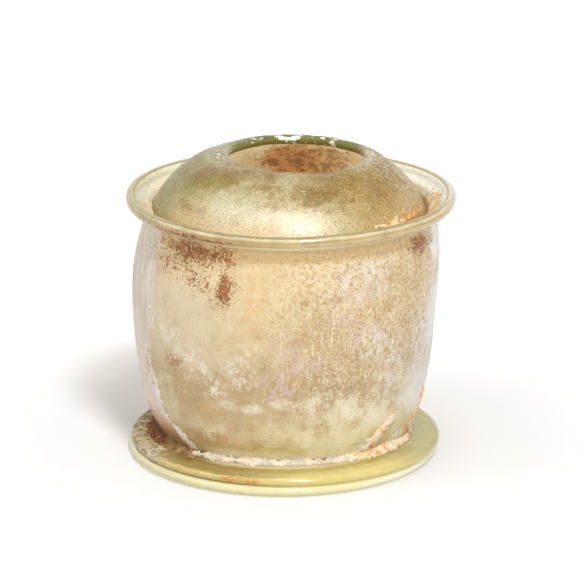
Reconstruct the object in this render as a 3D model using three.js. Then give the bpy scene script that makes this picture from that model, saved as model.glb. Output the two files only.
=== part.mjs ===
// A free-blown glass pyxis: a barrel-shaped vessel with a flared mouth and a rolled rim, on a foot of two
// glass discs laid one on the other, closed by a loose domed lid with a round hole in its top.
// Millimetres, +Z up. The origin is on the axis of the mouth, at the level the foot stands on.

import * as THREE from "three";

// Lower disc of the foot: its edge is a half round, and its underside is pushed up a little in the middle
const lowerDiscReach = 0.1;
const lowerDiscThickness = 2.5;
const kickRadius = 24;
const kickDepth = 0.8;

// Upper disc of the foot: it rises to a collar round the bottom corner of the vessel
const upperDiscReach = 7.3;
const upperDiscEdge = 1.7;
const upperDiscFloor = 2.2;
const collarHeight = 1.4;
const collarLip = 0.7;
const collarGap = 0.4;

// Vessel, from the foot up to the rim; the drops are measured down from the middle of the rolled rim
const baseRadius = 30.2;
const cornerReach = 4.7;
const cornerHeight = 1.7;
const baseSlope = 52;
const bellyRadius = 37;
const bellyDrop = 18.7;
const rimHeight = 63.7;
const beadRadius = 1.45;
const throatRadius = 31.6;
const throatWall = 3.7;
const throatDepth = 1;
const flareReach = 8.4;
const flareSlope = 45;
const flareWall = 2.05;
const wall = 3;
const floorThickness = 3;

// Lid: a dome of even wall with a rounded edge below and a rounded lip round the hole
const lidOverhang = 1.2;
const lidRise = 13.45;
const lidWall = 2;
const lipRadius = 1.1;
const holeRadius = 16.2;
const seatGap = 0.3;

// What hand work left uneven: the mouth leans to one side of the foot, more and more up to the throat,
// the two discs of the foot lie a little apart, and the hole is not in the middle of the lid
const mouthLean = 1.84;
const leanPower = 4;
const lowerDiscShift = -0.2;
const upperDiscShift = 0.6;
const holeShift = 1.6;
const holeShiftReach = 9;

// Facets round the axis
const turns = 48;

const degrees = THREE.MathUtils.degToRad;
const point = (r, z) => new THREE.Vector2(r, z);
const onCircle = (r, z, radius, angle) =>
  point(r + radius * Math.cos(degrees(angle)), z + radius * Math.sin(degrees(angle)));

// Levels and radii that follow from the sizes above
const footSeam = lowerDiscThickness;
const vesselSeat = footSeam + upperDiscFloor;
const baseHeight = vesselSeat + cornerHeight;
const floorTop = vesselSeat + floorThickness;
const bellyHeight = rimHeight - bellyDrop;
const cornerRadius = baseRadius - cornerReach;
const upperDiscRadius = baseRadius + upperDiscReach;
const lowerDiscRadius = upperDiscRadius + lowerDiscReach;
const neckRadius = throatRadius + throatWall;
const mouthRadius = throatRadius + flareReach;
const beadCentre = mouthRadius - beadRadius;

// The flare is a cone that meets the rolled rim as a tangent
const flareTop = onCircle(beadCentre, rimHeight, beadRadius, 90 + flareSlope);
const flareHeightAt = (r) => flareTop.y - (flareTop.x - r) * Math.tan(degrees(flareSlope));
const neckHeight = flareHeightAt(neckRadius) - flareWall / Math.cos(degrees(flareSlope));

// The lid's lower edge is a half round that stands seatGap off the cone, a little outside the throat
const lidRadius = throatRadius + lidOverhang;
const lidEdgeRadius = lidWall / 2;
const lidEdgeCentre = lidRadius - lidEdgeRadius;
const lidSeat = flareHeightAt(lidEdgeCentre) + (lidEdgeRadius + seatGap) / Math.cos(degrees(flareSlope));
const lidTop = lidSeat + lidRise;

function arc(r, z, radius, from, to, steps) {
  const points = [];
  for (let i = 0; i <= steps; i += 1) {
    points.push(onCircle(r, z, radius, from + ((to - from) * i) / steps));
  }
  return points;
}

// A smooth run from one point to another. It leaves and arrives at the angles given, in degrees from
// straight outwards, and each pull is a share of the distance between the two points.
function sweep(from, leaving, fromPull, to, arriving, toPull) {
  const reach = from.distanceTo(to);
  const handle = (angle, pull) => onCircle(0, 0, reach * pull, angle);
  return new THREE.CubicBezierCurve(
    from,
    from.clone().add(handle(leaving, fromPull)),
    to.clone().sub(handle(arriving, toPull)),
    to,
  );
}

// Points at an even distance to the left of a curve, between two shares of its run
function beside(curve, distance, from, to, steps) {
  const points = [];
  for (let i = 0; i <= steps; i += 1) {
    const share = from + ((to - from) * i) / steps;
    const along = curve.getTangent(share);
    const at = curve.getPoint(share);
    points.push(point(at.x - along.y * distance, at.y + along.x * distance));
  }
  return points;
}

// The outline without the points that two neighbouring stretches share
const withoutRepeats = (points) => points.filter((p, i) => i === 0 || p.distanceTo(points[i - 1]) > 0.02);

// A solid of revolution about +Z, with each vertex then moved sideways by shift(radius, height)
function turned(name, outline, material, shift) {
  const geometry = new THREE.LatheGeometry(withoutRepeats(outline), turns);
  geometry.rotateX(Math.PI / 2);
  const position = geometry.getAttribute("position");
  for (let i = 0; i < position.count; i += 1) {
    const radius = Math.hypot(position.getX(i), position.getY(i));
    position.setX(i, position.getX(i) + shift(radius, position.getZ(i)));
  }
  geometry.computeVertexNormals();
  const mesh = new THREE.Mesh(geometry, material);
  mesh.name = name;
  return mesh;
}

// How far a level lies from the axis of the mouth: the flare, where the lid sits, is true to that axis
const leanHeight = flareHeightAt(throatRadius) - throatDepth;
const lean = (height) => mouthLean * (Math.min(height / leanHeight, 1) ** leanPower - 1);

// 0 up to one value, 1 from another on, and even in between
const rising = (value, none, all) => THREE.MathUtils.clamp((value - none) / (all - none), 0, 1);

const glass = (color, roughness) =>
  new THREE.MeshStandardMaterial({ color, roughness, metalness: 0, transparent: true, opacity: 0.6 });

function lowerDisc() {
  const edge = lowerDiscThickness / 2;
  const outline = [
    ...sweep(point(0, kickDepth), 0, 0.4, point(kickRadius, 0), 0, 0.4).getPoints(6),
    ...arc(lowerDiscRadius - edge, edge, edge, -90, 90, 8),
    point(0, footSeam),
  ];
  const shift = (radius, height) => lean(height) + lowerDiscShift;
  return turned("foot_lower_disc", outline, glass(0xece5a8, 0.12), shift);
}

// The rounded bottom corner of the vessel, or of the hollow that holds it when there is a gap
function bottomCorner(gap) {
  const flat = point(cornerRadius + gap, vesselSeat);
  const side = point(baseRadius + gap, baseHeight);
  return sweep(flat, 0, 0.45, side, baseSlope, 0.25).getPoints(5);
}

function upperDisc() {
  const edge = upperDiscEdge / 2;
  const edgeCentre = upperDiscRadius - edge;
  const collarRadius = baseRadius + collarGap;
  const collarTop = point(collarRadius + collarLip, vesselSeat + collarHeight);
  const outline = [
    point(0, footSeam),
    ...arc(edgeCentre, footSeam + edge, edge, -90, 90, 6),
    ...sweep(point(edgeCentre, footSeam + upperDiscEdge), 180, 0.6, collarTop, 130, 0.15).getPoints(6),
    ...bottomCorner(collarGap).reverse(),
    point(0, vesselSeat),
  ];
  const shift = (radius, height) => lean(height) + upperDiscShift * rising(radius, collarRadius, edgeCentre);
  return turned("foot_upper_disc", outline, glass(0xc2b75c, 0.15), shift);
}

function vessel() {
  const base = point(baseRadius, baseHeight);
  const belly = point(bellyRadius, bellyHeight);
  const neck = point(neckRadius, neckHeight);
  const underBead = onCircle(beadCentre, rimHeight, beadRadius, -105);
  const lowerWall = sweep(base, baseSlope, 0.27, belly, 90, 0.08);
  const upperWall = sweep(belly, 90, 0.54, neck, 90, 0.07);
  const underFlare = sweep(neck, 90, 0.25, underBead, 38, 0.4);

  const throatTop = point(throatRadius + throatDepth / 2, flareHeightAt(throatRadius + throatDepth / 2));
  const throatFoot = point(throatRadius, throatTop.y - throatDepth);
  const innerBelly = point(bellyRadius - wall, bellyHeight);
  const throat = sweep(throatTop, 180 + flareSlope, 0.35, throatFoot, 270, 0.35);
  const shoulder = sweep(throatFoot, 270, 0.3, innerBelly, 270, 0.5);
  const innerWall = beside(lowerWall, wall, 1, 0.2, 8);
  const innerBase = innerWall[innerWall.length - 1];
  const floorEdge = point(innerBase.x - 2 * wall, floorTop);
  const innerCorner = sweep(innerBase, 180 + baseSlope + 15, 0.4, floorEdge, 180, 0.5);

  const outline = [
    point(0, vesselSeat),
    ...bottomCorner(0),
    ...lowerWall.getPoints(10),
    ...upperWall.getPoints(7),
    ...underFlare.getPoints(4),
    ...arc(beadCentre, rimHeight, beadRadius, -105, 0, 4),
    ...arc(beadCentre, rimHeight, beadRadius, 0, 90 + flareSlope, 5),
    ...throat.getPoints(3),
    ...shoulder.getPoints(6),
    ...innerWall,
    ...innerCorner.getPoints(5),
    point(0, floorTop),
  ];
  return turned("vessel", outline, glass(0xd9c79c, 0.4), (radius, height) => lean(height));
}

function lid() {
  const lipCentre = holeRadius + lipRadius;
  const dome = sweep(point(lidRadius, lidSeat), 90, 0.184, point(lipCentre, lidTop), 180, 0.332);
  const outline = [
    ...dome.getPoints(11),
    ...arc(lipCentre, lidTop - lipRadius, lipRadius, 90, 270, 8),
    ...beside(dome, lidWall, 0.95, 0, 9),
    ...arc(lidEdgeCentre, lidSeat, lidEdgeRadius, 180, 360, 6),
  ];
  const shift = (radius) => holeShift * rising(radius, holeRadius + holeShiftReach, holeRadius);
  return turned("lid", outline, glass(0xb9ac62, 0.25), shift);
}

const pyxis = new THREE.Group();
pyxis.add(lowerDisc(), upperDisc(), vessel(), lid());

export default pyxis;
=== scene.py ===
"""A free-blown glass pyxis, long buried: a barrel-shaped vessel with a flared mouth, a foot of two
glass discs and a loose domed lid with a hole. Each turned piece is a smooth copy of its CAD solid with
the unevenness of hand work. Earthy linings, crusts and crumbs are pieces of their own. Lengths are in
millimetres unless a comment says so."""

import math

import bmesh
import bpy
import numpy as np
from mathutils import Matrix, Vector, noise


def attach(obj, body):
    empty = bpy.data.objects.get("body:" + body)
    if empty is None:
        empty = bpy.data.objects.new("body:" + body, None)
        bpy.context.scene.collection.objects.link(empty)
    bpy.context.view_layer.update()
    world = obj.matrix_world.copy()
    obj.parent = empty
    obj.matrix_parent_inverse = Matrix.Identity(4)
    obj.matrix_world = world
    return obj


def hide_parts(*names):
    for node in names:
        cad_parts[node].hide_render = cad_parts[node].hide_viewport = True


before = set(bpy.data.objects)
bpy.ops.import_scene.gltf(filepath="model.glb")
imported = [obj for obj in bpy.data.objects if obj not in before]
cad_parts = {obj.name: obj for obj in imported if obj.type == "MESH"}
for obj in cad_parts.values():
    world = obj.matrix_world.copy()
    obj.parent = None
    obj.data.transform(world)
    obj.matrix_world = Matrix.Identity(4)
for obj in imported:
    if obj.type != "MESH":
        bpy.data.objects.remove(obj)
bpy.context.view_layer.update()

MM = 0.001

# The camera, fitted to the photograph: how far it stands from a point at mid height on the foot's axis,
# how high, and how far its aim lies from that point. It shows what lies between two distances in metres.
FOOT_AXIS = -1.84
CAMERA_DISTANCE = 1053.7
CAMERA_ELEVATION = math.radians(17.63)
CAMERA_MIDDLE = 34.0
CAMERA_LENS = 268.65
SENSOR_WIDTH = 36.0
AIM_RIGHT = 0.001536
AIM_UP = 0.005493
CLIP_START, CLIP_END = 0.05, 20

# The CAD solids' vertices: how close two that are one may lie and how close to a plane (metres), and how
# many edges only a pole has
WELD = 1e-6
ON_PLANE = 1e-5
POLE_EDGES = 20

# Vertices round each turned piece, and the longest step and the least sharp corner along its outline
AROUND = 192
OUTLINE_STEP = 1.1
CORNER_ANGLE = math.radians(38)
TINY = 1e-9

# Linings: the air between glass and deposit, the deposit itself, and how high they reach in the vessel
# and below the top of the dome
AIR = 0.07
LINING = 0.28
LINING_TOP = 58.4
LINING_BELOW_TOP = 1.9

# Rows past the highest one that still belong to the outside of the vessel's rim and of the lid's hole
RIM_ROWS = 4
HOLE_ROWS = 6

# The height where the foot's discs meet, and the gap between them
DISC_JOINT = 2.5
JOINT_GAP = 0.04

# How far the lid sits off the axis, and how it leans
LID_DRIFT = -0.38
LID_TILT = -0.012

# Waves of the rim: height, count round the axis, phase in radians
RIM_WAVES = ((0.22, 2, 2.2), (0.1, 5, 0.4))


def outline(node):
    """A turned CAD node's outline as rows of radius, height and how far that ring's middle lies along X."""
    mesh = bmesh.new()
    mesh.from_mesh(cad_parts[node].data)
    bmesh.ops.remove_doubles(mesh, verts=mesh.verts, dist=WELD)
    poles = {v for v in mesh.verts if len(v.link_edges) > POLE_EDGES}
    in_plane = {v for v in mesh.verts if abs(v.co.y) < ON_PLANE} | poles

    def walk(side):
        here = poles | {v for v in in_plane if v.co.x * side > 0}
        start = min(poles, key=lambda v: v.co.z) if poles else max(here, key=lambda v: v.co.x * side)
        path = [start]
        while True:
            near = [e.other_vert(path[-1]) for e in path[-1].link_edges]
            near = [v for v in near if v in here and v not in path]
            if not near:
                return path
            path.append(max(near, key=lambda v: v.co.z) if len(path) == 1 and not poles else near[0])

    pairs = zip(walk(1), walk(-1), strict=True)
    rows = [((a.co.x - b.co.x) / 2, a.co.z, (a.co.x + b.co.x) / 2) for a, b in pairs]
    mesh.free()
    return np.array(rows) / MM


def refined(rows, closed=False):
    """A smooth line through the rows, with points at most a step apart. Sharp corners stay sharp."""
    ends = (rows[-1:], rows[:2]) if closed else (rows[:1], rows[-1:])
    rows = np.vstack([ends[0], rows, ends[1]])
    made = []
    for before, start, end, after in zip(rows, rows[1:], rows[2:], rows[3:]):
        chord = end - start
        length = np.linalg.norm(chord)
        slopes = []
        for side in (start - before, after - end):
            other = np.linalg.norm(side)
            turned_by = np.arccos(np.clip(side @ chord / max(other * length, TINY), -1, 1))
            if other < WELD or turned_by > CORNER_ANGLE:
                slopes.append(chord)
            else:
                slopes.append(length * (side / other * length + chord / length * other) / (length + other))
        count = max(1, math.ceil(length / OUTLINE_STEP))
        for t in np.arange(count) / count:
            made.append(
                start * (2 * t**3 - 3 * t**2 + 1)
                + slopes[0] * (t**3 - 2 * t**2 + t)
                + end * (3 * t**2 - 2 * t**3)
                + slopes[1] * (t**3 - t**2)
            )
    return np.array(made if closed else made + [rows[-1]])


def outward(rows):
    """The direction out of the glass at each row, which is to the right of the rows' course."""
    along = np.gradient(rows[:, :2], axis=0)
    along /= np.maximum(np.linalg.norm(along, axis=1, keepdims=True), TINY)
    return np.column_stack([along[:, 1], -along[:, 0]])


def moved_out(rows, distance):
    moved = rows.copy()
    moved[:, :2] += outward(rows) * distance
    moved[:, 0] = np.maximum(moved[:, 0], 0)
    return moved


def resampled(rows, step):
    """The rows with points an even step apart."""
    gaps = np.linalg.norm(np.diff(rows[:, :2], axis=0), axis=1)
    run = np.concatenate([[0], np.cumsum(gaps)])
    at = np.linspace(0, run[-1], max(2, round(run[-1] / step) + 1))
    return np.column_stack([np.interp(at, run, rows[:, k]) for k in range(3)])


def cut(rows, inner=-1, outer=math.inf, low=-1, high=math.inf):
    """The rows between two radii and two heights."""
    radius, height = rows[:, 0], rows[:, 1]
    return rows[(radius > inner) & (radius < outer) & (height > low) & (height < high)]


def from_highest(rows):
    return int(np.argmax(rows[:, 1]))


def smooth(value, low, high):
    """0 up to low and 1 from high, or the other way round where low is the higher."""
    t = np.clip((value - low) / (high - low), 0, 1)
    return t * t * (3 - 2 * t)


def within(value, start, full, end, none):
    """1 from full to end, falling to 0 at start and none."""
    return smooth(value, start, full) * (1 - smooth(value, end, none))


def waves(turn, *rows):
    """The sum of waves round the axis, each a height, a count and a phase."""
    return sum(height * np.sin(count * turn + phase) for height, count, phase in rows)


# Each form takes turns in radians from +X, radii and heights, and gives back radii and heights that are
# a little uneven.


def vessel_form(turn, radius, height):
    """The blown wall swells a little unevenly, and the rim waves up and down."""
    wall = waves(turn, (0.16, 2, 0.7), (0.1, 3, height / 9), (0.06, 5, -height / 5))
    wall = wall * smooth(height, 6, 16) * (1 - smooth(height, 50, 57))
    wave = waves(turn, *RIM_WAVES) * smooth(height, 61, 64) * smooth(radius, 34, 38)
    return radius + wall * smooth(radius, 10, 26), height + wave


def lid_form(turn, radius, height):
    """The dome is a little lumpy, its lip waves, and the lid sits askew, so it leans along the flare."""
    lip = 1 - smooth(radius, 17, 24)
    lumps = waves(turn, (0.1, 2, 1), (0.08, 3, -radius / 5))
    wave = waves(turn, (0.2, 2, 0.6), (0.13, 3, 2.4), (0.07, 7, 0))
    rise = lumps * smooth(height, 62, 66) * (1 - lip) + (wave + 0.1) * lip
    inward = waves(turn, (0.22, 3, 0.8), (0.12, 5, 0))
    return radius + inward * lip, height + rise + LID_TILT * radius * np.cos(turn)


def disc_form(turn, radius, height):
    """The foot's discs are not quite round, and the upper one is a little swollen near its edge."""
    height = height + 0.62 * within(radius, 32.4, 35, 35.9, 37.4) * smooth(height, 3.5, 4.1)
    edge = waves(turn, (0.22, 2, 1.9), (0.12, 3, height), (0.06, 7, 0))
    return radius + edge * smooth(radius, 31, 37), height


def placed(name, data):
    """A new object in the scene."""
    made = bpy.data.objects.new(name, data)
    bpy.context.scene.collection.objects.link(made)
    return made


def piece(name, points, faces, materials, body):
    """A smooth mesh that rides on a body. A face is its corners and its material's place."""
    mesh = bpy.data.meshes.new(name)
    mesh.from_pydata([tuple(p) for p in np.asarray(points) * MM], [], [f[0] for f in faces])
    for material in materials:
        mesh.materials.append(material)
    mesh.polygons.foreach_set("material_index", [f[1] for f in faces])
    mesh.polygons.foreach_set("use_smooth", [True] * len(faces))
    mesh.validate()
    mesh.update()
    made = placed(name, mesh)
    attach(made, body)
    return made


def turned(name, rows, form, materials, body, slot, closed=False, kinds=None):
    """A piece of the rows revolved about Z. kinds names the material's place for each run between rows."""
    kinds = kinds if kinds is not None else [0] * len(rows)
    turn = np.arange(AROUND) * 2 * math.pi / AROUND
    points, rings = [], []
    for radius, height, shift in rows:
        if radius < WELD:
            rings.append([len(points)] * AROUND)
            points.append((shift, 0, height))
            continue
        r, h = form(turn, np.full(AROUND, radius), np.full(AROUND, height))
        rings.append(range(len(points), len(points) + AROUND))
        points.extend(zip(shift + r * np.cos(turn), r * np.sin(turn), h))
    faces = []
    for low, high, kind in zip(rings, rings[1:] + rings[:1] if closed else rings[1:], kinds):
        for i in range(AROUND):
            j = (i + 1) % AROUND
            faces.append((list(dict.fromkeys((low[i], low[j], high[j], high[i]))), kind))
    return piece(name, points, faces, materials, body)


def rough(place, size, octaves=4):
    """Uneven values, mostly from -1 to 1, over the places of a mesh."""
    return noise.fractal(place / size, 0.8, 2.1, octaves)


def bump(value, middle, reach):
    """1 at the middle, falling to 0 at reach away."""
    away = min(abs(value - middle) / reach, 1)
    return (1 - away * away) ** 2


def hills(turn, ground, *rows):
    """A ground level with hills on it, each a height, a middle turn and a reach."""
    for height, middle, reach in rows:
        ground += height * bump(turn, middle, reach)
    return ground


# The air under a crust, and the least depth that its mesh is given
CRUST_AIR = 0.02
LEAST_DEPTH = 0.01
ALL_ROUND = (-180, 180)

# Body and material slot of what is on the vessel and on the lid
VESSEL = ("base", "vessel_glass")
LID = ("cover", "lid_glass")


def crust(name, rows, form, thickness, span, steps, material, body, slot, air=CRUST_AIR):
    """A patchy crust on a turned surface. thickness takes the turn in degrees from the front, the place and
    the radius, and gives millimetres; where it is not above 0 there is no crust."""
    out = outward(rows)
    base, top, thick = [], [], []
    for t in np.linspace(*span, steps):
        angle = math.radians(t - 90)
        cosine, sine = math.cos(angle), math.sin(angle)
        r, h = form(np.full(len(rows), angle), rows[:, 0], rows[:, 1])
        for k, (radius, _, shift) in enumerate(rows):
            place = Vector((shift + r[k] * cosine, r[k] * sine, h[k]))
            normal = Vector((out[k, 0] * cosine, out[k, 0] * sine, out[k, 1]))
            depth = thickness(t, place, radius)
            thick.append(depth)
            base.append(place + normal * air)
            top.append(place + normal * (air + max(depth, LEAST_DEPTH)))
    across = len(rows)
    rings = []
    for i in range(steps - 1):
        for k in range(i * across, (i + 1) * across - 1):
            ring = (k, k + across, k + across + 1, k + 1)
            if min(thick[c] for c in ring) > 0:
                rings.append(ring)
    sides = dict.fromkeys(side for ring in rings for side in zip(ring, ring[1:] + ring[:1]))
    index = {c: n for n, c in enumerate(sorted({c for ring in rings for c in ring}))}
    under = len(index)
    faces = [[index[c] for c in ring] for ring in rings]
    faces += [[index[c] + under for c in reversed(ring)] for ring in rings]
    for a, b in sides:
        if (b, a) not in sides:
            faces.append([index[b], index[a], index[a] + under, index[b] + under])
    points = [top[c] for c in index] + [base[c] for c in index]
    return piece(name, points, [(corners, 0) for corners in faces], [material], body)


# How much lamplight a film of weathering passes on at least, in general and on the lid
FILM_LETS = 0.78
LID_LETS = 0.93

GLASS_IOR = 1.5
EARTH_SPECULAR = 0.25
WHITE = (1, 1, 1, 1)

# The warm tint of lamplight that comes through a thin layer of earth
EARTH_GLOW = (1.0, 0.95, 0.88, 1.0)

# How the pyxis leans: up to this height its axis comes over from the foot's axis to Z
LEAN_HEIGHT = 57.8


def tone(red, green, blue):
    """A colour as it looks, from 0 to 255, in the linear form that shaders take."""
    parts = [c / 255 for c in (red, green, blue)]
    return [c / 12.92 if c <= 0.04045 else ((c + 0.055) / 1.055) ** 2.4 for c in parts] + [1.0]


class Nodes:
    """Builds one tree of shader nodes. A value is a number, a colour or another node's output."""

    def __init__(self, owner):
        owner.use_nodes = True
        self.tree = owner.node_tree
        self.tree.nodes.clear()

    def feed(self, socket, value):
        if isinstance(value, bpy.types.NodeSocket):
            self.tree.links.new(value, socket)
        else:
            socket.default_value = value

    def new(self, kind, *values, settings=None, **inputs):
        """A node whose first inputs take the values in order, and others by name."""
        node = self.tree.nodes.new("ShaderNode" + kind)
        for key, value in (settings or {}).items():
            setattr(node, key, value)
        for socket, value in zip(node.inputs, values):
            self.feed(socket, value)
        for key, value in inputs.items():
            self.feed(node.inputs[key.replace("_", " ")], value)
        return node

    def math(self, operation, a, b=0.0, c=0.0, clamp=False):
        settings = {"operation": operation, "use_clamp": clamp}
        return self.new("Math", a, b, c, settings=settings).outputs[0]

    def scaled(self, value, factor, added=0.0):
        return self.math("MULTIPLY_ADD", value, factor, added)

    def vector(self, operation, a, b=(0, 0, 0)):
        node = self.new("VectorMath", a, b, settings={"operation": operation})
        return node.outputs["Value" if operation == "LENGTH" else "Vector"]

    def range(self, value, low, high, start=0.0, end=1.0, blend="SMOOTHSTEP"):
        settings = {"interpolation_type": blend}
        return self.new("MapRange", value, low, high, start, end, settings=settings).outputs[0]

    def joined(self, operation, shares):
        """Shares are values, or tuples of a value and the range that turns it into a share."""
        made, *others = [self.range(*s) if isinstance(s, tuple) else s for s in shares]
        for other in others:
            made = self.math(operation, made, other)
        return made

    def both(self, *shares):
        return self.joined("MULTIPLY", shares)

    def either(self, *shares):
        return self.joined("MAXIMUM", shares)

    def without(self, share):
        return self.math("SUBTRACT", 1.0, share)

    def mix(self, below, above, share):
        node = self.new("Mix", share, settings={"data_type": "RGBA"})
        self.feed(node.inputs[6], below)
        self.feed(node.inputs[7], above)
        return node.outputs[2]


class Paint(Nodes):
    """One material, and the colour laid on it so far. Places and sizes are in millimetres, turns in degrees
    from the front, left negative."""

    def __init__(self, name):
        self.material = bpy.data.materials.new(name)
        super().__init__(self.material)
        self.colour = None
        self.place = self.vector("MULTIPLY", self.new("TexCoord").outputs["Object"], [1 / MM] * 3)
        x, self.y, self.z = self.new("SeparateXYZ", self.place).outputs
        level = self.math("MULTIPLY", self.z, 1 / LEAN_HEIGHT, clamp=True)
        lean = self.scaled(self.math("POWER", level, 4.0), -FOOT_AXIS, FOOT_AXIS)
        across = self.math("SUBTRACT", x, lean)
        radians = self.math("ARCTAN2", across, self.scaled(self.y, -1.0))
        self.turn = self.scaled(radians, 180 / math.pi)
        squares = self.math("ADD", self.both(across, across), self.both(self.y, self.y))
        self.radius = self.math("SQRT", squares)
        self.flat = self.new("CombineXYZ", self.turn, self.z).outputs[0]
        self.rag = self.math("SUBTRACT", self.noise(2.2, 5, 0.7), 0.5)

    def noise(self, size, detail=3.0, roughness=0.5, stretch=(1, 1, 1), seed=0, distortion=0.0):
        """Clouds of values round 0.5, drawn out along X, Y and Z by stretch and moved by a seed."""
        drawn = self.vector("MULTIPLY", self.place, [1 / s for s in stretch])
        place = self.vector("ADD", drawn, (seed * 17.3, seed * 7.9, seed * 31.7))
        look = {"Detail": detail, "Roughness": roughness, "Distortion": distortion}
        return self.new("TexNoise", Vector=place, Scale=1 / size, **look).outputs[0]

    def ramp(self, value, *stops):
        """Colours, or shares, set at values and blended between them."""
        low, high = stops[0][0], stops[-1][0]
        node = self.new("ValToRGB", self.math("DIVIDE", self.math("SUBTRACT", value, low), high - low))
        marks = node.color_ramp.elements
        while len(marks) < len(stops):
            marks.new(0.5)
        for mark, (at, *colour) in zip(marks, stops):
            mark.position = (at - low) / (high - low)
            mark.color = tone(*colour) if len(colour) == 3 else colour * 3 + [1]
        return node.outputs[0]

    def lay(self, colour, *shares):
        """Lays a colour over what is there, by the product of the shares."""
        above = tone(*colour) if isinstance(colour, tuple) else colour
        self.colour = self.mix(self.colour, above, self.both(*shares))

    def toward(self, value, number, *shares):
        """A value drawn toward a number by the product of the shares."""
        return self.mix(value, (number, number, number, 1), self.both(*shares))

    def ragged(self, value, amount):
        return self.scaled(self.rag, amount, value)

    def swayed(self, value, clouds, amount):
        """A value moved up and down by clouds of noise."""
        return self.scaled(self.math("SUBTRACT", clouds, 0.5), amount, value)

    def arc(self, start, full, end, none, rag=0.0):
        """1 from the turn full to end, falling to 0 at start and none. It never reaches the back."""
        turn = self.ragged(self.turn, rag) if rag else self.turn
        return self.both(self.range(turn, start, full), self.range(turn, none, end))

    def spot(self, turn, height, wide, tall, rag=1.2, soft=0.5):
        """A ragged spot, wide in degrees and tall in millimetres from its middle to its edge."""
        away = self.vector("SUBTRACT", self.flat, (turn, height, 0))
        away = self.vector("LENGTH", self.vector("DIVIDE", away, (wide, tall, 1)))
        return self.range(self.ragged(away, rag), 1 + soft / 2, 1 - soft / 2)

    def spots(self, *places, **look):
        return self.either(*[self.spot(*place, **look) for place in places])

    def blob(self, middle, reach):
        """A ragged ball round a place."""
        away = self.vector("LENGTH", self.vector("SUBTRACT", self.place, middle))
        return self.range(self.ragged(away, reach * 0.9), reach * 1.25, reach * 0.7)

    def principled(self, roughness, height, depth, **inputs):
        normal = self.new("Bump", Height=height, Distance=depth * MM, Strength=1.0).outputs["Normal"]
        inputs.update(Base_Color=self.colour, Roughness=roughness, Normal=normal)
        return self.new("BsdfPrincipled", **inputs).outputs[0]

    def glass(self, film, roughness, height, depth, least=FILM_LETS):
        """Glass under a film that hides what lies behind it by a share. Lamplight passes by what the film
        leaves clear, and by no less than least."""
        clear = self.without(film) if isinstance(film, bpy.types.NodeSocket) else 1.0 - film
        shader = self.principled(roughness, height, depth, Transmission_Weight=clear, IOR=GLASS_IOR)
        through = self.new("BsdfTransparent", self.mix(self.colour, WHITE, 0.6)).outputs[0]
        return self.show(shader, through, self.either(clear, least))

    def earth(self, roughness, height, depth, lets=0.0, sheer=0.0):
        """A dull deposit. Lamps reach through it by the share lets, and light from behind by sheer."""
        seen = self.principled(roughness, height, depth, Specular_IOR_Level=EARTH_SPECULAR)
        if sheer:
            behind = self.new("BsdfTranslucent", Color=self.colour).outputs[0]
            seen = self.new("MixShader", sheer, seen, behind).outputs[0]
        if lets:
            return self.show(seen, self.new("BsdfTransparent", EARTH_GLOW).outputs[0], lets)
        return self.finished(seen)

    def show(self, shader, through, clear):
        """The shader for the eye, and for lamplight by the share clear the one that lets it through."""
        path = self.new("LightPath").outputs
        light = self.either(path["Is Shadow Ray"], path["Is Diffuse Ray"])
        return self.finished(self.new("MixShader", self.both(light, clear), shader, through).outputs[0])

    def finished(self, shader):
        self.new("OutputMaterial", shader)
        return self.material


# The edge of the deposit's left side: heights from the foot up and turns in degrees, with the least turn
# and the span that hold them all
FLAKED_EDGE = [
    (6.5, -42.5), (9.1, -46.3), (12.1, -49.6), (13, -54.7), (14.6, -56.6), (16.2, -58.1), (21.3, -58.6),
    (24.4, -60.5), (29.1, -63), (35.4, -61.7), (43.4, -59.7), (50.9, -59.4), (57.9, -61),
]
EDGE_LEAST, EDGE_SPAN = -70.0, 40.0


def cream_and_tan(p, broad, mottle, fine):
    """The body's weathered ground, by height, with its mottling and its grain, coarse on the right."""
    p.colour = p.ramp(
        p.swayed(p.z, broad, 12.0),
        (5, 216, 194, 132), (10, 220, 200, 146), (15, 210, 188, 142), (20, 196, 170, 124),
        (25, 190, 162, 115), (31, 203, 179, 136), (38, 219, 196, 151), (47, 225, 202, 157),
        (60, 232, 208, 163),
    )
    p.lay((182, 148, 98), (mottle, 0.5, 0.72, 0, 0.75))
    p.lay((244, 230, 198), (mottle, 0.46, 0.28, 0, 0.55))
    rough_side = p.both(p.arc(-14, 16, 118, 156, rag=20), (p.z, 15, 24))
    rough_side = p.scaled(rough_side, 0.8, 0.2)
    p.lay((174, 136, 86), (fine, 0.5, 0.6, 0, 0.7), rough_side)
    p.lay((243, 228, 198), (fine, 0.45, 0.36, 0, 0.6), rough_side)
    return rough_side


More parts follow.
